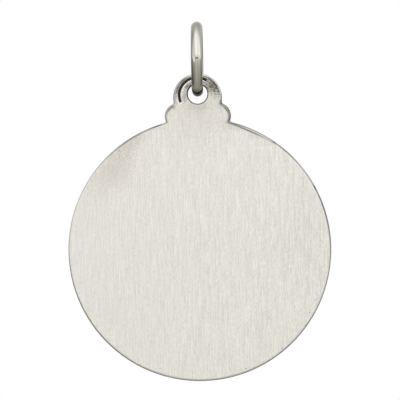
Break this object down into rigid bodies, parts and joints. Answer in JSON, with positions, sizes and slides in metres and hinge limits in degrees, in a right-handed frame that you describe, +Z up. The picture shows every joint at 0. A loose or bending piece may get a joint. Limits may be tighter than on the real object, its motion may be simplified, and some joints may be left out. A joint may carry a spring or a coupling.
{
  "type": "religious medal pendant",
  "caption": "Round silver medal with a scalloped pierced tab, hanging on a plain round-wire jump ring; struck front with rim and plain cross, flat brushed back.",
  "frame": {"origin": "inside top of the jump ring, where a chain or cord carries the pendant", "axes": "+Z up to the jump ring as it hangs, -Y out of the flat back, +Y out of the struck front, +X to the right as the back is seen"},
  "size_m": [0.028, 0.008, 0.0383],
  "materials": {
    "brushed_silver": "satin, brushed upright",
    "polished_silver": "polished wire"
  },
  "bodies": {
    "ring": {"jump_ring": "polished_silver"},
    "medal": {"medal": "brushed_silver"}
  },
  "joints": [
    {"name": "medal_swing", "type": "hinge", "parent": "ring", "child": "medal", "pos_m": [0, 0, -0.0062], "axis": [0, 1, 0], "range_deg": [-118, 118]}
  ]
}
